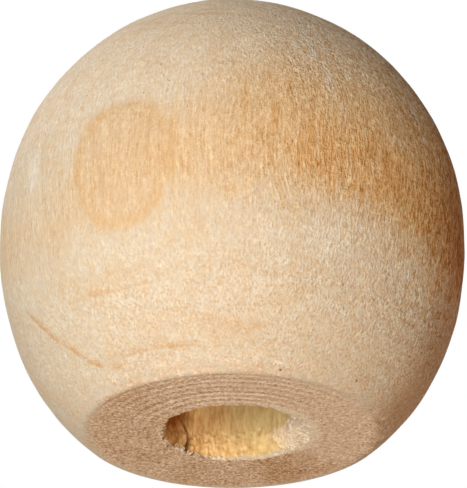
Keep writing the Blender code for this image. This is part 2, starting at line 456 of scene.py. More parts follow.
# Share 1 is the sharp outer edge of a ring's late wood, which fades inwards
lateWood = addNode(tree, "ShaderNodeMapRange", [ringShare, 1.0, 0.98, 0.0, field["ringStrength"]])
lateWood = addNode(tree, "ShaderNodeMapRange", [ringShare, 0.80, 0.99, 0.0, lateWood])
lateWood = addNode(tree, "ShaderNodeMapRange", [noise["blotch"], 0.30, 0.60, 0.0, lateWood])
eye = stirred(across, ("dash", 0.22), ("blotch", 0.20))
eyeLine = addNode(tree, "ShaderNodeMath", [eye, ringForm["firstRing"] + 0.05], operation="SUBTRACT")
eyeLine = addNode(tree, "ShaderNodeMath", [eyeLine], operation="ABSOLUTE")
# The ring lines that stand out, drawn from their distance in mm: sharp on one side, fading on the other
line = stirred(field["lineOffset"], *woodMix["lineEdge"])
lineMask = addNode(tree, "ShaderNodeMapRange", [line, -0.22, 0.02, 0.0, field["lineStrength"]])
lineMask = addNode(tree, "ShaderNodeMapRange", [line, 0.80, 0.05, 0.0, lineMask])
lineBreaks = stirred(0.5, ("blotch", 1.4), ("fleck", 1.0))
lineMask = addNode(tree, "ShaderNodeMapRange", [lineBreaks, 0.20, 0.60, 0.0, lineMask])

surface = layered(colour(woodLook["pale"]), [
    (rise, -1.0, 8.0, 1.0, woodLook["crown"]),
    (field["tanTail"], 0, 1, 1.0, woodLook["tanTail"]),
    (noise["mottle"], 0.47, 0.70, 0.30, woodLook["tanMottle"]),
    (stirred(0.5, ("hue", 1.0), ("fleck", 0.5)), 0.52, 0.80, 0.35, woodLook["tanMottle"]),
    (bandValue, -0.5, 0.9, field["bandStrength"], bandTint),
    (eye, ringForm["firstRing"] - 0.10, ringForm["firstRing"] + 0.05, 0.62, woodLook["bandPeach"]),
    (eyeLine, 0.22, 0.0, 0.34, woodLook["eyeLine"]),
    (lateWood, 0, 1, 1.0, woodLook["ringLine"]),
    (lineMask, 0, 1, 1.0, woodLook["ringLine"]),
    (gold, 0.40, 0.57, 0.68, woodLook["goldStroke"]),
    (rust, 0.40, 0.60, 0.80, woodLook["rustStroke"]),
    (within(field["warmTone"], ("ragged", 0.5), ("fleck", 0.9), ("blotch", 0.5)), 0.10, 0.95, 0.75,
     woodLook["goldStroke"]),
    (within(field["whitish"], ("dash", 0.7), ("hue", 0.5)), 0.15, 0.85, 0.7, woodLook["whitish"]),
])
patchTint = layered(colour(woodLook["coolPatch"]), [(noise["hue"], 0.35, 0.65, 1.0, woodLook["warmPatch"])])
surface = addNode(tree, "ShaderNodeVectorMath", [surface, patchTint], operation="MULTIPLY")
# Painted shade over the right side, partly the wood's own redder tone there, and patches of painted shade on
# the upper right
rightSideTintAndShade = layered((1.0, 1.0, 1.0, 1.0), [
    (field["rightTintAndShade"], 0, 1, 1.0, woodLook["rightTintAndShade"]),
    # Soft patches of painted shade on the upper right
    (within(field["rightShadePatches"], ("hue", 0.6)), 0, 1, 1.0, woodLook["rightShadePatches"]),
])
surface = addNode(tree, "ShaderNodeVectorMath", [surface, rightSideTintAndShade], operation="MULTIPLY")

# Fibres lighten and darken the side grain: the dark ones are more orange, the light ones whiter. The
# right side is rougher: its raised fibres are painted lighter, as highlights, and the gaps painted darker, as
# shade, over their relief
patchy = addNode(tree, "ShaderNodeMapRange", [noise["blotch"], 0.38, 0.62, 0.5, 1.0])
patchy = addNode(tree, "ShaderNodeMath", [patchy, field["calm"]], operation="MULTIPLY")
calm = stirred(0.0, *woodMix["calm"])
streaks = stirred(0.0, *woodMix["streaks"])
streaks = addNode(tree, "ShaderNodeMath", [
    streaks, addNode(tree, "ShaderNodeMapRange", [bandValue, -0.4, 0.5, 0.0, 1.0]),
], operation="MULTIPLY")
rougher = stirred(-0.05, *woodMix["rougher"])
# Painted highlights on the raised fibres and painted shade in the gaps between them, in the tone and in the
# relief
raisedFibreHighlights = scattered(*woodMarks["raisedFibreHighlights"])
fibres = addNode(tree, "ShaderNodeMath", [scattered(*woodMarks["gapShade"]), -0.26], operation="MULTIPLY")
fibres = addNode(tree, "ShaderNodeMath", [raisedFibreHighlights, 0.72, fibres], operation="MULTIPLY_ADD")
rougher = addNode(tree, "ShaderNodeMath", [rougher, fibres], operation="ADD")
tone = addNode(tree, "ShaderNodeMath", [calm, patchy, 0.5], operation="MULTIPLY_ADD")
tone = addNode(tree, "ShaderNodeMath", [streaks, tone], operation="ADD")
unevenly = addNode(tree, "ShaderNodeMapRange", [noise["blotch"], 0.36, 0.64, 0.65, 1.35])
lively = addNode(tree, "ShaderNodeMath", [field["lively"], unevenly], operation="MULTIPLY")
tone = addNode(tree, "ShaderNodeMath", [rougher, lively, tone], operation="MULTIPLY_ADD")
sideGrain = toned(surface, stirred(tone, ("blotch", 0.16)), *woodTone["side"])
# Rows of open pores, where the turning cuts them low on the ball
pores = addNode(tree, "ShaderNodeMapRange", [stirred(0.5, *woodMix["pores"]), 0.54, 0.84, 0.0, 1.0])
sideGrain = layered(sideGrain, [(pores, 0, 1, field["pores"], woodLook["pores"])])

# End grain on the flat: browner mottling with pale fibre ends, and turning rings 0.85 mm apart, whose dark
# lines are painted shade in the tool grooves
fromAxis = addNode(tree, "ShaderNodeVectorMath", [place, (1, 1, 0)], operation="MULTIPLY")
fromAxis = addNode(tree, "ShaderNodeVectorMath", [fromAxis], operation="LENGTH").outputs["Value"]
ringWave = addNode(tree, "ShaderNodeMath", [fromAxis, headForm["firstRing"]], operation="SUBTRACT")
ringWave = stirred(ringWave, *woodMix["turnedRings"])
ringTurns = 2 * math.pi / headForm["ringPitch"]
ringWave = addNode(tree, "ShaderNodeMath", [ringWave, ringTurns], operation="MULTIPLY")
ringWave = addNode(tree, "ShaderNodeMath", [ringWave], operation="COSINE")
ringGrooveShade = addNode(tree, "ShaderNodeMath", [ringWave, field["turnedRings"]], operation="MULTIPLY")
# Painted shade in the grooves, darker for some rings than for others
grooveShadeStrength = addNode(tree, "ShaderNodeTexNoise", {
    "W": fromAxis, "Scale": 0.9, "Detail": 1.0,
}, noise_dimensions="1D")
grooveShadeStrength = addNode(tree, "ShaderNodeMapRange", [grooveShadeStrength, 0.35, 0.65, -0.05, -0.24])
fibreTips = scattered(*woodMarks["fibreTips"])
flatTone = addNode(tree, "ShaderNodeMath", [
    fibreTips, 0.38, stirred(0.0, *woodMix["flat"]),
], operation="MULTIPLY_ADD")
flatTone = addNode(tree, "ShaderNodeMath", [flatTone, field["tips"], 0.47], operation="MULTIPLY_ADD")
flatTone = addNode(tree, "ShaderNodeMath", [ringGrooveShade, grooveShadeStrength, flatTone], operation="MULTIPLY_ADD")
flatTint = layered(colour(woodLook["endGrain"]), [
    (stirred(field["flatBrown"], *woodMix["flatBrown"]), 0.1, 1.0, 1.0, woodLook["endGrainBrown"]),
])
flatGrain = toned(flatTint, flatTone, *woodTone["flat"])

# Bore wall: fluted by the drill's cut along the fibres. Its colour holds painted shade, darker near the lip
# on the right, on the left and deepest down, and painted light, lighter deep on the right
wallTint = layered(colour(woodLook["wallLeft"]), [
    (field["wallTurn"], 0, 1, 1.0, woodLook["wallRight"]),
    (field["deepRightLight"], 0, 1, 1.0, woodLook["wallDeepLit"]),
    (field["shaded"], 0, 1, 1.0, woodLook["wallShade"]),
])
wallLively = addNode(tree, "ShaderNodeMapRange", [field["wallTurn"], 0.0, 1.0, 1.0, 0.45])
wallTone = addNode(tree, "ShaderNodeMath", [
    stirred(0.0, *woodMix["wall"]), wallLively, 0.52,
], operation="MULTIPLY_ADD")
wallGrain = toned(wallTint, wallTone, *woodTone["wall"])
wornGrain = toned(colour(woodLook["wornPale"])[:3], stirred(0.55, *woodMix["worn"]), *woodTone["worn"])

surface = layered(sideGrain, [
    (within(field["onFlat"], *woodMix["flatEdge"]), 0.05, 0.65, 1.0, flatGrain),
    (field["inWall"], 0, 1, 1.0, wallGrain),
    (within(field["worn"], *woodMix["wornEdge"]), 0.30, 0.80, 1.0, wornGrain),
    # Painted shade inside the split and, more faintly, the torn grooves
    (field["crack"], 0, 1, 1.0, woodLook["cracks"]),
])
towards = addNode(tree, "ShaderNodeVectorMath", [middle], operation="NORMALIZE")
dirt = None
for x, y, z, radius in specks:
    aim = Vector((x, y, z))
    gap = addNode(tree, "ShaderNodeVectorMath", [towards, aim.normalized()], operation="DISTANCE")
    gap = addNode(tree, "ShaderNodeMath", [gap.outputs["Value"], aim.length], operation="MULTIPLY")
    gap = stirred(gap, ("fleck", 0.16))
    spot = addNode(tree, "ShaderNodeMapRange", [gap, radius, radius * 0.4, 0.0, 1.0])
    dirt = addNode(tree, "ShaderNodeMath", [spot, dirt], operation="MAXIMUM") if dirt else spot
surface = layered(surface, [(dirt, 0, 1, 0.85, woodLook["specks"])])

# Relief of the fibres: 0.12 to 0.4 mm wide, a few hundredths of a millimetre deep
relief = stirred(0.0, *woodMix["calmRelief"])
pitted = addNode(tree, "ShaderNodeMath", [pores, field["pores"]], operation="MULTIPLY")
relief = addNode(tree, "ShaderNodeMath", [pitted, -0.35, relief], operation="MULTIPLY_ADD")
coarse = stirred(0.0, *woodMix["coarseRelief"])
coarse = addNode(tree, "ShaderNodeMath", [fibres, 0.9, coarse], operation="MULTIPLY_ADD")
relief = addNode(tree, "ShaderNodeMath", [coarse, lively, relief], operation="MULTIPLY_ADD")
relief = addNode(tree, "ShaderNodeMath", [relief, field["rough"]], operation="MULTIPLY")
bump = addNode(tree, "ShaderNodeBump", {
    "Strength": 1.0, "Distance": woodSurface["reliefDepth"] * mm, "Height": relief,
})
dullness = addNode(tree, "ShaderNodeMapRange", [
    noise["longFibre"], 0.3, 0.7, woodSurface["smoothest"], woodSurface["roughest"],
])
shader = addNode(tree, "ShaderNodeBsdfPrincipled", {
    "Base Color": surface, "IOR": 1.5, "Specular IOR Level": woodSurface["shine"],
    "Normal": bump, "Roughness": dullness,
})
addNode(tree, "ShaderNodeOutputMaterial", {"Surface": shader})
print("material rawBirch")


# Turn the head: the outline goes round its axis, then the marks that turning and drilling leave

turning = {
    "Points Round": 360,
    "Swell": 0.07,  # slow unevenness of a hand-sanded ball; heights and sizes are in mm
    "Swell Size": 6.0,
    "Tool Wave": 0.018,  # shallow waves that the gouge leaves along the ball
    "Tool Pitch": 1.3,
    "Ring Depth": 0.014,
    "Ring Pitch": headForm["ringPitch"],
    "First Ring": headForm["firstRing"],
    "Pit Depth": 0.06,  # torn fibre ends on the flat
    "Pits Per Mm": 2.2,
    "Flute Depth": 0.20,
    "Flutes Per Mm": 1.5,
    "Fuzz": 0.16,
    "Tufts Per Mm": 3.4,
}

rings = headRings()
outline = bpy.data.meshes.new("outline")
outline.from_pydata((rings[:, [1, 2, 3]] * mm).tolist(), [(i, i + 1) for i in range(len(rings) - 1)], [])
storeValues(outline, "centre", rings[:, 0] * mm)
storeValues(outline, "zone", rings[:, 4])

tree, sizes, values = startTree("turnHead", {**turning, "Finish": material})
ringCount = addNode(tree, "GeometryNodeAttributeDomainSize", [sizes["Geometry"]]).outputs["Point Count"]
pointsAcross = addNode(tree, "ShaderNodeMath", [sizes["Points Round"], 1.0], operation="ADD")
grid = addNode(tree, "GeometryNodeMeshGrid", {"Vertices X": ringCount, "Vertices Y": pointsAcross})
index = addNode(tree, "GeometryNodeInputIndex")
ring = addNode(tree, "ShaderNodeMath", [index, pointsAcross], operation="DIVIDE")
ring = addNode(tree, "ShaderNodeMath", [ring], operation="FLOOR")
turn = addNode(tree, "ShaderNodeMath", [index, pointsAcross], operation="MODULO")
turn = addNode(tree, "ShaderNodeMath", [turn, sizes["Points Round"]], operation="DIVIDE")
turn = addNode(tree, "ShaderNodeMath", [turn, 2 * math.pi], operation="MULTIPLY")
shape = addNode(tree, "GeometryNodeSampleIndex", {
    "Geometry": sizes["Geometry"], "Value": addNode(tree, "GeometryNodeInputPosition"), "Index": ring,
}, data_type="FLOAT_VECTOR")
shape = addNode(tree, "ShaderNodeSeparateXYZ", [shape])
sampled = {}
for name in ("centre", "zone"):
    source = addNode(tree, "GeometryNodeInputNamedAttribute", {"Name": name}, data_type="FLOAT")
    sampled[name] = addNode(tree, "GeometryNodeSampleIndex", {
        "Geometry": sizes["Geometry"], "Value": source, "Index": ring,
    }, data_type="FLOAT").outputs[0]
x = addNode(tree, "ShaderNodeMath", [
    addNode(tree, "ShaderNodeMath", [turn], operation="COSINE"), shape.outputs["X"], sampled["centre"],
], operation="MULTIPLY_ADD")
y = addNode(tree, "ShaderNodeMath", [
    addNode(tree, "ShaderNodeMath", [turn], operation="SINE"), shape.outputs["Y"],
], operation="MULTIPLY")
position = addNode(tree, "ShaderNodeCombineXYZ", [x, y, shape.outputs["Z"]])
body = addNode(tree, "GeometryNodeSetPosition", {"Geometry": grid.outputs["Mesh"], "Position": position})
body = addNode(tree, "GeometryNodeStoreNamedAttribute", {
    "Geometry": body, "Name": "zone", "Value": sampled["zone"],
}, data_type="FLOAT", domain="POINT")
body = addNode(tree, "GeometryNodeMergeByDistance", {"Geometry": body, "Distance": 0.001 * mm})

zone = addNode(tree, "GeometryNodeInputNamedAttribute", {"Name": "zone"}, data_type="FLOAT")
position = addNode(tree, "GeometryNodeInputPosition")
placeMm = addNode(tree, "ShaderNodeVectorMath", {0: position, "Scale": 1 / mm}, operation="SCALE")
parts = addNode(tree, "ShaderNodeSeparateXYZ", [placeMm])
normal = addNode(tree, "GeometryNodeInputNormal")


def offsetBy(height, amount, direction, mask):
    # An offset in metres, along a direction, of a height in so many millimetres, where the mask is 1
    amount = addNode(tree, "ShaderNodeMath", [height, amount], operation="MULTIPLY")
    amount = addNode(tree, "ShaderNodeMath", [amount, mask], operation="MULTIPLY")
    amount = addNode(tree, "ShaderNodeMath", [amount, mm], operation="MULTIPLY")
    return addNode(tree, "ShaderNodeVectorMath", {0: direction, "Scale": amount}, operation="SCALE")


def centredNoise(vector, scale, detail):
    # Noise from about -1 to 1
    noise = addNode(tree, "ShaderNodeTexNoise", {"Vector": vector, "Scale": scale, "Detail": detail})
    noise = addNode(tree, "ShaderNodeMath", [noise, 0.5], operation="SUBTRACT")
    return addNode(tree, "ShaderNodeMath", [noise, 3.0], operation="MULTIPLY")


onBall = addNode(tree, "ShaderNodeMath", [zone, 0.5], operation="LESS_THAN")
clear = addNode(tree, "ShaderNodeMapRange", {"Value": parts.outputs["Z"], "From Min": 0.2, "From Max": 3.0})
onBall = addNode(tree, "ShaderNodeMath", [onBall, clear], operation="MULTIPLY")
onFace = addNode(tree, "ShaderNodeMath", [zone, 1.0, 0.4], operation="COMPARE")
onLip = addNode(tree, "ShaderNodeMath", [zone, 2.0, 0.4], operation="COMPARE")
onWall = addNode(tree, "ShaderNodeMath", [zone, 1.5], operation="GREATER_THAN")
past = addNode(tree, "ShaderNodeMapRange", {"Value": parts.outputs["Z"], "From Min": 0.1, "From Max": 0.7})
onWall = addNode(tree, "ShaderNodeMath", [onWall, past], operation="MULTIPLY")

swellScale = addNode(tree, "ShaderNodeMath", [1.0, sizes["Swell Size"]], operation="DIVIDE")
toolScale = addNode(tree, "ShaderNodeMath", [1.0, sizes["Tool Pitch"]], operation="DIVIDE")
toolPlace = addNode(tree, "ShaderNodeVectorMath", [placeMm, (0.05, 0.05, 1.0)], operation="MULTIPLY")
radius = addNode(tree, "ShaderNodeVectorMath", [placeMm, (1, 1, 0)], operation="MULTIPLY")
radius = addNode(tree, "ShaderNodeVectorMath", [radius], operation="LENGTH").outputs["Value"]
groove = addNode(tree, "ShaderNodeMath", [radius, sizes["First Ring"]], operation="SUBTRACT")
groove = addNode(tree, "ShaderNodeMath", [groove, sizes["Ring Pitch"]], operation="DIVIDE")
groove = addNode(tree, "ShaderNodeMath", [groove, 2 * math.pi], operation="MULTIPLY")
groove = addNode(tree, "ShaderNodeMath", [groove], operation="COSINE")
groove = addNode(tree, "ShaderNodeMath", [groove, 0.5, 0.5], operation="MULTIPLY_ADD")
pits = centredNoise(placeMm, sizes["Pits Per Mm"], 2.0)
pits = addNode(tree, "ShaderNodeMath", [pits, 0.0], operation="MAXIMUM")
flutePlace = addNode(tree, "ShaderNodeVectorMath", [placeMm, (1.0, 1.0, 0.13)], operation="MULTIPLY")
offset = None
for height, amount, direction, mask in (
    (centredNoise(placeMm, swellScale, 1.0), "Swell", normal, onBall),
    (centredNoise(toolPlace, toolScale, 1.0), "Tool Wave", normal, onBall),
    (groove, "Ring Depth", (0, 0, 1), onFace),
    (pits, "Pit Depth", (0, 0, 1), onFace),
    (centredNoise(flutePlace, sizes["Flutes Per Mm"], 3.0), "Flute Depth", normal, onWall),
    (centredNoise(placeMm, sizes["Tufts Per Mm"], 2.0), "Fuzz", normal, onLip),
):
    move = offsetBy(height, sizes[amount], direction, mask)
    offset = addNode(tree, "ShaderNodeVectorMath", [offset, move], operation="ADD") if offset else move
body = addNode(tree, "GeometryNodeSetPosition", {"Geometry": body, "Offset": offset})
body = addNode(tree, "GeometryNodeSetMaterial", {"Geometry": body, "Material": sizes["Finish"]})
body = addNode(tree, "GeometryNodeRealizeInstances", [body])
addNode(tree, "NodeGroupOutput", [body])

head = growPiece("turnedHead", outline, tree, values)
mesh = head.data
solid = bmesh.new()
solid.from_mesh(mesh)
bmesh.ops.recalc_face_normals(solid, faces=solid.faces)
if solid.calc_volume(signed=True) < 0:
    bmesh.ops.reverse_faces(solid, faces=solid.faces)
solid.to_mesh(mesh)
solid.free()
print("head turned", len(mesh.vertices), "points", len(mesh.polygons), "faces")


# Wear that sits where the photograph shows it, and the masks that the finish reads

wear = {
    "splitTurn": 36.5,  # degrees from +Y towards -X, about the bore's axis
    "splitDrift": 5.0,
    "splitSway": 2.0,
    "splitLength": 3.1,
    "splitWidth": 0.34,
    "splitDepth": 0.85,
    "splinterWidth": 1.25,
    "splinterLength": 3.8,
    "splinterRise": 0.32,
    "grooves": (31, 27.5, 23, 18.5, 12, -3, -9.5, -13),  # short torn grooves up from the far lip, in degrees
    # longitude, rise, radius and depth of the nicks in the ball
    "nicks": ((-68.9, 1.67, 0.7, 0.16), (85.9, -8.5, 0.8, 0.14), (-115, -17.6, 0.7, 0.12)),
}

# Where a soft mask starts, is full, starts to fade and is gone. Sides are degrees round the head, 0 in
# front and + to the right, levels are mm above the widest one, and turns are degrees round the bore
spans = {
    "roughSide": (-20, 35, 120, 160),
    "tanSide": (-20, 14, 110, 150),
    "tanLevel": (-8, -1, 3, 12),
    "strokeSide": (-24, 26, 70, 130),
    "smoothLevel": (-13, -9, -6, -3),
    "ringSide": (-80, -45, 15, 60),
    "tipSide": (-60, 10, 110, 150),
    "brownSide": (115, 138, 152, 172),
    "shadedTurn": (24, 52, 150, 175),
    "raggedTurn": (35, 60, 110, 130),
    "tornTurn": (45, 60, 105, 125),
    "farTurn": (-22, -6, 46, 62),
    "wornTurn": (30, 75, 130, 175),  # the other way round
}


def inSpan(name, value):
    start, full, fade, gone = spans[name]
    return smoothStep(start, full, value) * smoothStep(gone, fade, value)


rng = np.random.default_rng(27)
points = meshPoints(mesh)
zoneOf = np.empty(len(points), dtype=np.float32)
mesh.attributes["zone"].data.foreach_get("value", zoneOf)
mesh.attributes.remove(mesh.attributes["zone"])
boreX = -socketForm["offset"]
isBall = zoneOf < 0.5
inSocket = zoneOf > 1.5
turnOf = np.degrees(np.arctan2(-(points[:, 0] - boreX), points[:, 1]))
outwards = np.c_[points[:, 0] - boreX, points[:, 1], np.zeros(len(points))]
distance = np.linalg.norm(outwards, axis=1)
outwards /= np.maximum(distance, 1e-6)[:, None]
depthOf = points[:, 2].copy()
boreRadius = socketForm["diameter"] / 2

share = np.clip(depthOf / wear["splitLength"], 0, 1)
splitLine = wear["splitTurn"] + wear["splitDrift"] * share ** 2
splitLine += wear["splitSway"] * np.cos(depthOf * 2.2)
aside = np.radians(turnOf - splitLine) * boreRadius  # mm round the wall, + to the left of the split
taper = smoothStep(1.0, 0.75, share) * inSocket * (depthOf < wear["splitLength"])
cut = np.exp(-(aside / (wear["splitWidth"] / 2)) ** 2) * taper
points += outwards * (cut * wear["splitDepth"])[:, None]
# Painted shade: the split, and more faintly the torn grooves below, are darkened in colour for the shade
# inside them
crack = cut
width = wear["splinterWidth"] * (1 - 0.45 * np.clip(depthOf / wear["splinterLength"], 0, 1))
along = np.clip(aside / width, 0, 1)
splinter = np.sin(np.pi * along) ** 0.7 * smoothStep(wear["splinterLength"], 2.2, depthOf) * inSocket
points -= outwards * (splinter * wear["splinterRise"])[:, None]
lipNoise = np.zeros(len(points))
for knots, amount in ((48, 1.0), (110, 0.8), (230, 0.6)):
    # Random values round the mouth, which drift a little with depth
    tears = rng.uniform(-1, 1, knots)
    tears = np.append(tears, tears[0])
    lipNoise += amount * np.interp((turnOf + 180 + 9 * depthOf) % 360, np.linspace(0, 360, knots + 1), tears)
lipPower = 0.10 + 0.14 * inSpan("raggedTurn", turnOf) + 0.05 * smoothStep(60, 20, np.abs(turnOf))
besideMouth = smoothStep(boreRadius + 2.6, boreRadius + 0.6, distance)
nearLip = np.where(inSocket, smoothStep(1.1, 0.1, depthOf), besideMouth) * ~isBall
points += outwards * (lipNoise * lipPower * nearLip)[:, None]
for turn in wear["grooves"]:
    length = rng.uniform(0.7, 1.8)
    aside = np.radians(turnOf - turn - 1.5 * np.sin(depthOf * 2 + turn)) * boreRadius
    cut = np.exp(-(aside / rng.uniform(0.08, 0.16)) ** 2) * inSocket
    cut *= smoothStep(length, length * 0.3, depthOf)
    points += outwards * (cut * rng.uniform(0.12, 0.30))[:, None]
    crack = np.maximum(crack, cut * rng.uniform(0.2, 0.45))

lon = np.degrees(np.arctan2(points[:, 0], -points[:, 1]))
riseOf = points[:, 2] - headForm["flatDrop"]
for nickLon, nickRise, nickRadius, depth in wear["nicks"]:
    levelRadius = np.hypot(points[isBall, 0], points[isBall, 1])
    reach = np.interp(nickRise, riseOf[isBall][::-1], levelRadius[::-1])
    nickTurn = math.radians(nickLon)
    near = np.array([
        reach * math.sin(nickTurn), -reach * math.cos(nickTurn), nickRise + headForm["flatDrop"],
    ])
    away = np.linalg.norm(points - near, axis=1)
    inward = np.array([0, 0, headForm["flatDrop"]]) - near
    inward /= np.linalg.norm(inward)
    points += inward * (depth * np.exp(-(away / (nickRadius / 2)) ** 2) * isBall)[:, None]

points[:, 2] = np.maximum(points[:, 2], 0)
mesh.vertices.foreach_set("co", (points * mm).ravel())
mesh.update()

bandTable = np.array([
    # longitude, middle (rise), half height, strength, tone (0 peach, 1 orange)
    (-180, -2.3, 3.8, 0.80, 0.50), (-120, -2.5, 3.6, 0.70, 0.35), (-80, -2.7, 3.8, 0.55, 0.35),
    (-66, -4.2, 3.4, 0.45, 0.30), (-55, -5.0, 3.3, 0.40, 0.25), (-42, -4.4, 3.4, 0.45, 0.25),
    (-27, -2.6, 3.8, 0.58, 0.24), (-14, -1.8, 4.6, 0.82, 0.35), (0, -1.4, 4.8, 0.80, 0.40),
    (11, -0.6, 5.2, 0.80, 0.50), (18, -0.8, 4.8, 0.88, 0.55), (30, -1.7, 4.4, 0.95, 0.70),
    (45, -2.6, 4.7, 1.00, 0.90), (60, -3.5, 4.8, 1.00, 1.00), (80, -3.5, 4.8, 0.95, 0.85),
    (120, -2.6, 3.8, 0.90, 0.60), (153, -2.0, 5.2, 0.90, 0.40), (180, -2.3, 3.8, 0.80, 0.50),
])
bandMiddle, bandHalf, bandPower, bandTone = (
    np.interp(lon, bandTable[:, 0], column) for column in bandTable[:, 1:].T
)
storeValues(mesh, "bandField", 1 - np.abs(riseOf - bandMiddle) / bandHalf)
storeValues(mesh, "bandStrength", bandPower)
storeValues(mesh, "bandTone", bandTone)

stains = {
    # longitude, rise, half spans in degrees and mm, and strength of soft patches
    "whitish": (
        (-55, 0.6, 2.5, 2.4, 0.9), (-37, 3.6, 5, 1.2, 0.5), (20.5, 11.0, 1.3, 1.6, 0.8),
        (21.5, 9.0, 1.2, 2.0, 0.8), (24.5, 5.5, 1.4, 2.4, 0.7), (27, 2.8, 1.6, 1.4, 0.5),
        (52, 5.6, 1.6, 1.3, 0.9), (54, 3.6, 1.4, 1.0, 0.8), (8, -9.0, 6, 2.2, 0.55),
        (24, -8.5, 8, 2.4, 0.60), (-30, -9.5, 9, 1.3, 0.40), (-75, -14, 6, 3.0, 0.4),
        (-38, -17.3, 8, 0.6, 0.5), (-14, -7.5, 4, 0.8, 0.4), (43, 1.5, 4, 1.0, 0.45),
        (10, -12.5, 14, 2.6, 0.35),
    ),
    # Soft patches of painted shade on the upper right
    "rightShadePatches": ((74, 7.5, 10, 4.5, 0.9), (70, 0.5, 8, 4, 0.5), (48, 4, 9, 4, 0.35), (62, 11, 18, 5, 0.4)),
    "warmTone": (
        (0, -15.4, 10, 1.1, 0.50), (-21, -15.4, 8, 0.9, 0.40), (-38, -11.9, 6, 0.5, 0.45),
        (62, -9.0, 3, 3.0, 0.5), (18, -1.5, 1.6, 3.2, 0.8), (3, 2.8, 1.2, 2.2, 0.8),
        (10, 0.5, 1.0, 1.6, 0.6), (31, -0.6, 1.4, 1.8, 0.8), (40, -1.6, 1.2, 2.2, 0.8),
        (50, -4.0, 2.0, 3.0, 0.7), (-41, -16.9, 3, 0.35, 0.7), (-20, -12.0, 5, 0.5, 0.3),
    ),
}
for name, patches in stains.items():
    total = np.zeros(len(points))
    for patchLon, patchRise, halfLon, halfRise, strength in patches:
        away = ((lon - patchLon) / halfLon) ** 2 + ((riseOf - patchRise) / halfRise) ** 2
        total = np.maximum(total, strength * np.exp(-away))
    storeValues(mesh, name, total)

ringMarks = (
    # strength of a line, then its points in longitude and rise
    (0.80, (
        (-69, -9.9), (-65, -11.6), (-60, -13.4), (-55.7, -14.6), (-51, -16.0), (-46, -16.6), (-43, -16.75),
    )),
    (0.65, (
        (-42.5, -16.5), (-36.5, -16.45), (-30.4, -16.37), (-23.4, -16.44), (-15, -16.48), (-8.7, -16.53),
    )),
    (0.35, ((-46, -11.7), (-38.8, -12.0), (-33, -12.1), (-24, -12.3))),
    (0.55, ((-40, 13.9), (-27, 13.75), (-20, 14.2), (-10, 13.5), (0, 13.0), (8, 12.8))),
    (0.50, ((-30, 13.3), (-20.5, 12.6), (-12, 11.9))),
    (0.40, ((-30, 12.4), (-23, 12.0), (-17, 11.7))),
    (0.50, ((-14, 14.5), (-4, 14.1), (3, 14.0))),
    (0.30, ((-75.5, -10.7), (-76.7, -12.4), (-78.8, -14.7), (-80, -16.8))),
    (0.30, ((-80.5, -10.7), (-81.5, -12.4), (-83.5, -14.7), (-85, -16.8))),
    (0.25, ((-71.5, -12.7), (-72.5, -14.4), (-73.8, -15.7), (-74, -16.8))),
    (0.25, ((120, 9), (135, 5), (160, 3.5), (175, 3.0))),
)
lineOffset = np.full(len(points), 9.0)
lineStrength = np.zeros(len(points))
ballRings = rings[rings[:, 4] == 0][::-1]
degreeWidth = np.radians(1) * np.interp(riseOf, ballRings[:, 3] - headForm["flatDrop"], ballRings[:, 1])
slope = np.clip(np.hypot(riseOf / headForm["flatDrop"], 1), 1, 1.6)
for strength, corners in ringMarks:
    for number, (start, end) in enumerate(zip(corners, corners[1:])):
        stepX, stepY = (end[0] - start[0]) * degreeWidth, (end[1] - start[1]) * slope
        fromX, fromY = (lon - start[0]) * degreeWidth, (riseOf - start[1]) * slope
        share = np.clip((fromX * stepX + fromY * stepY) / (stepX ** 2 + stepY ** 2), 0, 1)
        gap = np.hypot(fromX - share * stepX, fromY - share * stepY)
        aside = np.sign(fromY * stepX - fromX * stepY) * gap
        position = (number + share) / (len(corners) - 1)
        fading = strength * np.clip(8 * position * (1 - position), 0, 1) ** 0.5
        nearer = gap < np.abs(lineOffset)
        lineOffset = np.where(nearer, aside, lineOffset)
        lineStrength = np.where(nearer, fading, lineStrength)
storeValues(mesh, "lineOffset", lineOffset)
storeValues(mesh, "lineStrength", lineStrength * isBall)
farRings = smoothStep(75, 110, np.abs(lon)) * smoothStep(12, 6, np.abs(riseOf + 2))
storeValues(mesh, "ringStrength", 0.04 + 0.20 * farRings)

offPole = smoothStep(19.6, 14.0, riseOf)  # the crown's middle looks the same all round
# Painted shade on the right side: its colour is darkened and reddened there, partly for the wood's own redder
# tone, partly for the shade that falls there
edgeStart = 42 + 0.8 * np.maximum(0, -4 - riseOf)
rightTintAndShade = smoothStep(edgeStart, edgeStart + 36, lon) * smoothStep(150, 100, lon)
storeValues(mesh, "rightTintAndShade", rightTintAndShade * offPole)
roughness = 0.45 + 0.45 * inSpan("roughSide", lon) * offPole
roughness += 0.3 * smoothStep(-100, -160, lon) + 0.3 * smoothStep(150, 170, lon)
intoBore = inSocket * smoothStep(0.1, 1.2, depthOf)
storeValues(mesh, "rough", np.where(isBall, roughness, 0.9 - 0.5 * intoBore))

livelySteps = (
    # how much livelier the fibres get, over which degrees round to the right, and the share lost below
    (0.28, -20, 12, 0.55), (0.26, 5, 40, 0.55), (0.85, 34, 68, 0.35),
)
livelyOf = np.full(len(points), 0.06)
for amount, fromLon, toLon, lost in livelySteps:
    livelyOf += amount * smoothStep(fromLon, toLon, lon) * (1 - lost * smoothStep(-4, -9, riseOf))
livelyOf *= 1 - 0.5 * smoothStep(-12, -16, riseOf)
livelyOf += 0.12 * smoothStep(0, 30, lon) * smoothStep(4, 8, riseOf)
livelyOf *= smoothStep(168, 130, lon) * (1 - 0.5 * smoothStep(82, 112, lon))
livelyOf = 0.30 + (livelyOf - 0.30) * offPole
storeValues(mesh, "lively", np.maximum(livelyOf, 0.12) * isBall)
smoother = inSpan("smoothLevel", riseOf) * smoothStep(-75, -55, lon) * smoothStep(60, 20, lon)
storeValues(mesh, "calm", 1.05 - 0.45 * smoother)
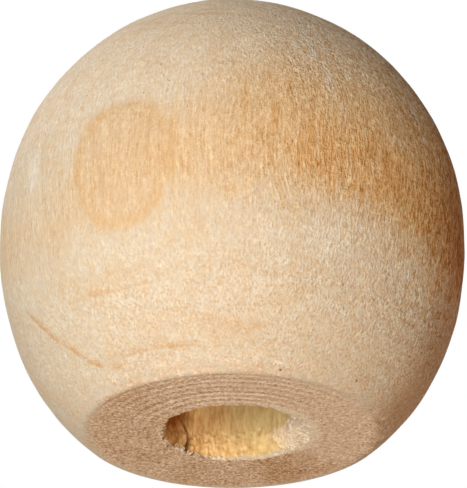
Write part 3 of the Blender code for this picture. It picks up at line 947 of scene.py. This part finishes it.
storeValues(mesh, "pores", 0.10 + 0.58 * smoothStep(-8, -13, riseOf) * smoothStep(-62, -30, lon))
storeValues(mesh, "tanTail", 0.75 * inSpan("tanSide", lon) * inSpan("tanLevel", riseOf))
storeValues(mesh, "strokes", 0.20 + 0.80 * inSpan("strokeSide", lon))

flatTurn = np.degrees(np.arctan2(points[:, 0], -points[:, 1]))
fromMiddle = np.hypot(points[:, 0], points[:, 1])
rimReach = 12.60 + 0.4 * smoothStep(60, 20, np.abs(flatTurn + 20))
onFlat = 0.82 * smoothStep(rimReach + 0.2, rimReach - 2.3, fromMiddle)
onFlat += 0.18 * smoothStep(rimReach + 2.0, rimReach, fromMiddle)
storeValues(mesh, "onFlat", onFlat * ~inSocket * (points[:, 2] < 2.5))
# Painted shade of the ring grooves, strongest on the near side where the light rakes across them
storeValues(mesh, "turnedRings", 0.10 + 0.90 * inSpan("ringSide", flatTurn))
flatBrown = 0.10 + 0.40 * smoothStep(-5, -55, flatTurn) + 0.40 * smoothStep(130, 170, np.abs(flatTurn))
flatBrown += 0.60 * inSpan("brownSide", flatTurn)
flatBrown -= 0.40 * smoothStep(-120, -178, flatTurn)
storeValues(mesh, "flatBrown", flatBrown)
storeValues(mesh, "tips", 1.05 - 0.35 * inSpan("tipSide", flatTurn))
inMouth = np.abs(zoneOf - 2) < 0.5
storeValues(mesh, "inWall", (zoneOf > 2.5) + inMouth * smoothStep(0.05, 0.5, depthOf))
storeValues(mesh, "wallTurn", smoothStep(35, -40, turnOf))
# Painted light: the deep right wall is lighter in colour, as if more light reached it
storeValues(mesh, "deepRightLight", smoothStep(10, -30, turnOf) * smoothStep(0.4, 3.6, depthOf) * inSocket)
# Painted shade on the bore's left side and deepest down, eased on the raised splinter as if it were lit
shaded = inSpan("shadedTurn", turnOf) * (0.35 + 0.65 * smoothStep(0, 3.5, depthOf))
shaded *= 1 - 0.25 * splinter
storeValues(mesh, "shaded", np.clip(1.1 * shaded + 0.5 * smoothStep(6.0, 11.0, depthOf), 0, 1) * inSocket)
# The worn side faces +X and its fuzz runs out on to the flat
mouthX, mouthHalfX, mouthHalfY = mouthEllipse(1)
outOfMouth = (np.hypot((points[:, 0] - mouthX) / mouthHalfX, points[:, 1] / mouthHalfY) - 1) * mouthHalfX
worn = np.where(inSocket, smoothStep(2.4, 1.2, depthOf), smoothStep(1.35, -0.1, outOfMouth))
torn = np.where(inSocket, smoothStep(0.55, 0.15, depthOf), smoothStep(0.45, 0.0, outOfMouth))
farLip = np.where(inSocket, smoothStep(0.45, 0.10, depthOf), smoothStep(0.25, 0.0, outOfMouth))
paleWood = np.maximum(worn * inSpan("wornTurn", -turnOf), 0.6 * torn * inSpan("tornTurn", turnOf))
paleWood = np.maximum(paleWood, 0.46 * farLip * inSpan("farTurn", turnOf))
storeValues(mesh, "worn", paleWood * ~isBall)
storeValues(mesh, "crack", crack)
mesh.shade_smooth()
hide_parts("doll_head")
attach(head, "root")
print("head finished")


# Loose fibres round the mouth: thin slivers that the drill tore up, rooted on the ragged wood

looseFibres = (
    # turns from and to, depth from and to, how many, length from and to, all in degrees and mm,
    # then how far they lean inwards and sideways for each unit along the bore
    (-12, 46, 0.00, 0.25, 48, 0.08, 0.26, 0.8, 0.9),
    (46, 112, 0.02, 0.60, 44, 0.10, 0.30, 1.0, 1.0),
    (-135, -45, 0.02, 1.0, 90, 0.10, 0.28, 1.2, 1.2),
)
sliver = {
    "Sliver Width": 0.10,  # at the root
    "Tip Width": 0.08,
    "Sliver Sides": 4,
    "Sliver Steps": 3,
    "Bend": 0.05,
    "Bend Size": 0.35,
}

roots, aims, lengths = [], [], []
for turnFrom, turnTo, depthFrom, depthTo, count, short, long, inwards, sideways in looseFibres:
    ready = inSocket & (turnOf > turnFrom) & (turnOf < turnTo) & (depthOf > depthFrom) & (depthOf < depthTo)
    for chosen in rng.choice(np.where(ready)[0], count, replace=False):
        around = np.array([-outwards[chosen, 1], outwards[chosen, 0], 0])
        aim = np.array([0, 0, rng.uniform(0.2, 1)]) - outwards[chosen] * inwards * rng.uniform(0.3, 1.3)
        aim += around * sideways * rng.uniform(-1, 1)
        roots.append(points[chosen] + outwards[chosen] * 0.03)
        aims.append(aim / np.linalg.norm(aim))
        lengths.append(rng.uniform(short, long))
rootMesh = bpy.data.meshes.new("fibreRoots")
rootMesh.from_pydata((np.array(roots) * mm).tolist(), [], [])
aimLayer = rootMesh.attributes.new("aim", "FLOAT_VECTOR", "POINT")
aimLayer.data.foreach_set("vector", np.array(aims, dtype=np.float32).ravel())
storeValues(rootMesh, "length", lengths)

# Torn birch fibres: matt and almost white, yellower in soft patches
tornLook = {
    "pale": "fff9ee",
    "yellow": "f3dcb4",
    "patchesPerMm": 2.4,
    "threadsPerMm": 30.0,
    "threadDepth": 0.02,
    "dullness": 0.8,
    "shine": 0.2,
}

tornFinish, tree = startFinish("tornFibre")
place = addNode(tree, "ShaderNodeVectorMath", {
    0: addNode(tree, "ShaderNodeTexCoord").outputs["Object"], "Scale": 1 / mm,
}, operation="SCALE")
patches = addNode(tree, "ShaderNodeTexNoise", {
    "Vector": place, "Scale": tornLook["patchesPerMm"], "Detail": 3.0, "Roughness": 0.7,
})
patches = addNode(tree, "ShaderNodeMapRange", [patches, 0.35, 0.65, 0.0, 1.0])
tint = addNode(tree, "ShaderNodeMix", {
    0: patches, 6: colour(tornLook["yellow"]), 7: colour(tornLook["pale"]),
}, data_type="RGBA")
threads = addNode(tree, "ShaderNodeTexNoise", {
    "Vector": place, "Scale": tornLook["threadsPerMm"], "Detail": 1.0,
})
bump = addNode(tree, "ShaderNodeBump", {
    "Strength": 0.6, "Distance": tornLook["threadDepth"] * mm, "Height": threads,
})
shader = addNode(tree, "ShaderNodeBsdfPrincipled", {
    "Base Color": tint, "Roughness": tornLook["dullness"], "Specular IOR Level": tornLook["shine"],
    "Normal": bump,
})
addNode(tree, "ShaderNodeOutputMaterial", {"Surface": shader})
print("material tornFibre")

tree, sizes, values = startTree("growSlivers", {**sliver, "Finish": tornFinish})
wide = addNode(tree, "ShaderNodeMath", [sizes["Sliver Width"], mm / 2], operation="MULTIPLY")
narrow = addNode(tree, "ShaderNodeMath", [sizes["Tip Width"], mm / 2], operation="MULTIPLY")
# One millimetre long, so that its scale along Z is its length
body = addNode(tree, "GeometryNodeMeshCone", {
    "Vertices": sizes["Sliver Sides"], "Side Segments": sizes["Sliver Steps"], "Radius Top": narrow,
    "Radius Bottom": wide, "Depth": mm,
}, fill_type="NGON")
aim = addNode(tree, "GeometryNodeInputNamedAttribute", {"Name": "aim"}, data_type="FLOAT_VECTOR")
turned = addNode(tree, "FunctionNodeAlignRotationToVector", {"Vector": aim}, axis="Z")
length = addNode(tree, "GeometryNodeInputNamedAttribute", {"Name": "length"}, data_type="FLOAT")
stretch = addNode(tree, "ShaderNodeCombineXYZ", [1.0, 1.0, length])
body = addNode(tree, "GeometryNodeInstanceOnPoints", {
    "Points": sizes["Geometry"], "Instance": body, "Rotation": turned, "Scale": stretch,
})
body = addNode(tree, "GeometryNodeRealizeInstances", [body])
position = addNode(tree, "GeometryNodeInputPosition")
placeMm = addNode(tree, "ShaderNodeVectorMath", {0: position, "Scale": 1 / mm}, operation="SCALE")
bendScale = addNode(tree, "ShaderNodeMath", [1.0, sizes["Bend Size"]], operation="DIVIDE")
bends = addNode(tree, "ShaderNodeTexNoise", {"Vector": placeMm, "Scale": bendScale, "Detail": 0.0})
bends = addNode(tree, "ShaderNodeVectorMath", [bends.outputs["Color"], (0.5, 0.5, 0.5)], operation="SUBTRACT")
# The noise stays within about a sixth of its middle
reach = addNode(tree, "ShaderNodeMath", [sizes["Bend"], 6 * mm], operation="MULTIPLY")
bends = addNode(tree, "ShaderNodeVectorMath", {0: bends, "Scale": reach}, operation="SCALE")
body = addNode(tree, "GeometryNodeSetPosition", {"Geometry": body, "Offset": bends})
body = addNode(tree, "GeometryNodeSetMaterial", {"Geometry": body, "Material": sizes["Finish"]})
addNode(tree, "NodeGroupOutput", [body])

fibresPiece = growPiece("looseFibres", rootMesh, tree, values)
spots = meshPoints(fibresPiece.data)
spots[:, 2] = np.maximum(spots[:, 2], 0.005)
fibresPiece.data.vertices.foreach_set("co", (spots * mm).ravel())
fibresPiece.data.update()
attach(fibresPiece, "root")
print("loose fibres", len(roots))


# Camera, from the fitted outline: it looks up at the flat from in front

cameraSetup = {
    "elevation": -27,
    "distance": 216.6,  # millimetres from the middle of the widest level
    "focalPixels": 2500,
    "imageSize": (467, 488),
    "aimPixel": (232.4, 239.3),  # where the middle of the widest level lies in the picture
    "sensor": 36,
}

toCamera = facing(0, cameraSetup["elevation"])
upward = facing(0, cameraSetup["elevation"] + 90)
width, height = cameraSetup["imageSize"]
pixel = cameraSetup["distance"] / cameraSetup["focalPixels"]  # millimetres for one pixel
aim = Vector((0, 0, headForm["flatDrop"]))
aim += Vector((1, 0, 0)) * (width / 2 - cameraSetup["aimPixel"][0]) * pixel
aim += upward * (cameraSetup["aimPixel"][1] - height / 2) * pixel
cameraData = bpy.data.cameras.new("photoCamera")
cameraData.sensor_width = cameraSetup["sensor"]
cameraData.lens = cameraSetup["focalPixels"] * cameraSetup["sensor"] / max(width, height)
cameraData.clip_start = 0.005
camera = addObject("photoCamera", cameraData)
camera.location = (aim + toCamera * cameraSetup["distance"]) * mm
camera.rotation_euler = toCamera.to_track_quat("Z", "Y").to_euler()
bpy.context.scene.camera = camera


# Soft studio light: a broad key from the left, a fill from below, and soft light from behind

lampSetup = {
    # azimuth and elevation in degrees, distance and size in metres, level (1 lights a surface that faces
    # the lamp to full white) and tint
    "key": (-37, -9, 0.60, 0.46, 0.82, "fffaf4"),
    "low": (8, -62, 0.50, 0.36, 0.33, "fff6ec"),
    "below": (-24, -46, 0.50, 0.30, 0.13, "fff4e8"),
    "front": (14, 28, 0.60, 0.46, 0.11, "fff3e8"),
    "warm": (52, -34, 0.60, 0.50, 0.25, "ffd8b2"),
    "back": (182, 12, 0.70, 0.40, 0.32, "fff8f0"),
    "rim": (-130, 45, 0.70, 0.40, 0.30, "eef4ff"),
    "side": (108, -6, 0.70, 0.50, 0.10, "ffe2c4"),
    "top": (-100, 72, 0.70, 0.60, 0.03, "ffffff"),
}

for name, (azimuth, elevation, distance, size, level, tint) in lampSetup.items():
    data = bpy.data.lights.new(name, "AREA")
    data.shape = "DISK"
    data.size = size
    data.energy = level * math.pi ** 2 * distance ** 2
    data.color = colour(tint)[:3]
    lamp = addObject(name, data)
    out = facing(azimuth, elevation)
    lamp.location = Vector((0, 0, headHeight / 2 * mm)) + out * distance
    lamp.rotation_euler = out.to_track_quat("Z", "Y").to_euler()

# A white studio: the camera and reflections see white, and the surfaces get a low even light
studio = {
    "surround": "ffefdc",
    "surroundLevel": 0.08,
    "floor": "ebe9e6",
    "floorReach": 1.5,  # metres
    "floorGap": 0.05,  # millimetres below the flat, so that the two don't share a plane
}

world = bpy.data.worlds.new("studio")
world.use_nodes = True
scene.world = world
tree = world.node_tree
tree.nodes.clear()
rays = addNode(tree, "ShaderNodeLightPath").outputs
seen = addNode(tree, "ShaderNodeMath", [rays["Is Camera Ray"], rays["Is Glossy Ray"]], operation="ADD")
seen = addNode(tree, "ShaderNodeMath", [seen, rays["Is Transmission Ray"]], operation="ADD", use_clamp=True)
lit = addNode(tree, "ShaderNodeBackground", {
    "Color": colour(studio["surround"]), "Strength": studio["surroundLevel"],
})
shown = addNode(tree, "ShaderNodeBackground", {"Color": (1, 1, 1, 1), "Strength": 1.0})
shader = addNode(tree, "ShaderNodeMixShader", [seen, lit, shown])
addNode(tree, "ShaderNodeOutputWorld", {"Surface": shader})

# The pale floor that the head stands on. The photograph looks up from under it, so its underside
# lets the view through
reach = studio["floorReach"]
level = -studio["floorGap"] * mm
floorMesh = bpy.data.meshes.new("floor")
corners = [(-reach, -reach, level), (reach, -reach, level), (reach, reach, level), (-reach, reach, level)]
floorMesh.from_pydata(corners, [], [(0, 1, 2, 3)])
floor = addObject("floor", floorMesh)
# Matt pale card, with nothing on it that draws the eye
card, tree = startFinish("paleFloor")
rays = addNode(tree, "ShaderNodeLightPath").outputs
behind = addNode(tree, "ShaderNodeNewGeometry").outputs["Backfacing"]
seen = addNode(tree, "ShaderNodeMath", [
    rays["Is Camera Ray"], rays["Is Glossy Ray"],
], operation="ADD", use_clamp=True)
front = addNode(tree, "ShaderNodeMath", [1.0, behind], operation="SUBTRACT")
shows = addNode(tree, "ShaderNodeMath", [seen, front], operation="MULTIPLY")
clearView = addNode(tree, "ShaderNodeBsdfTransparent")
pale = addNode(tree, "ShaderNodeBsdfDiffuse", {"Color": colour(studio["floor"])})
shader = addNode(tree, "ShaderNodeMixShader", [shows, clearView, pale])
addNode(tree, "ShaderNodeOutputMaterial", {"Surface": shader})
floorMesh.materials.append(card)
print("camera, lamps and floor in place")

scene.view_settings.view_transform = "Standard"
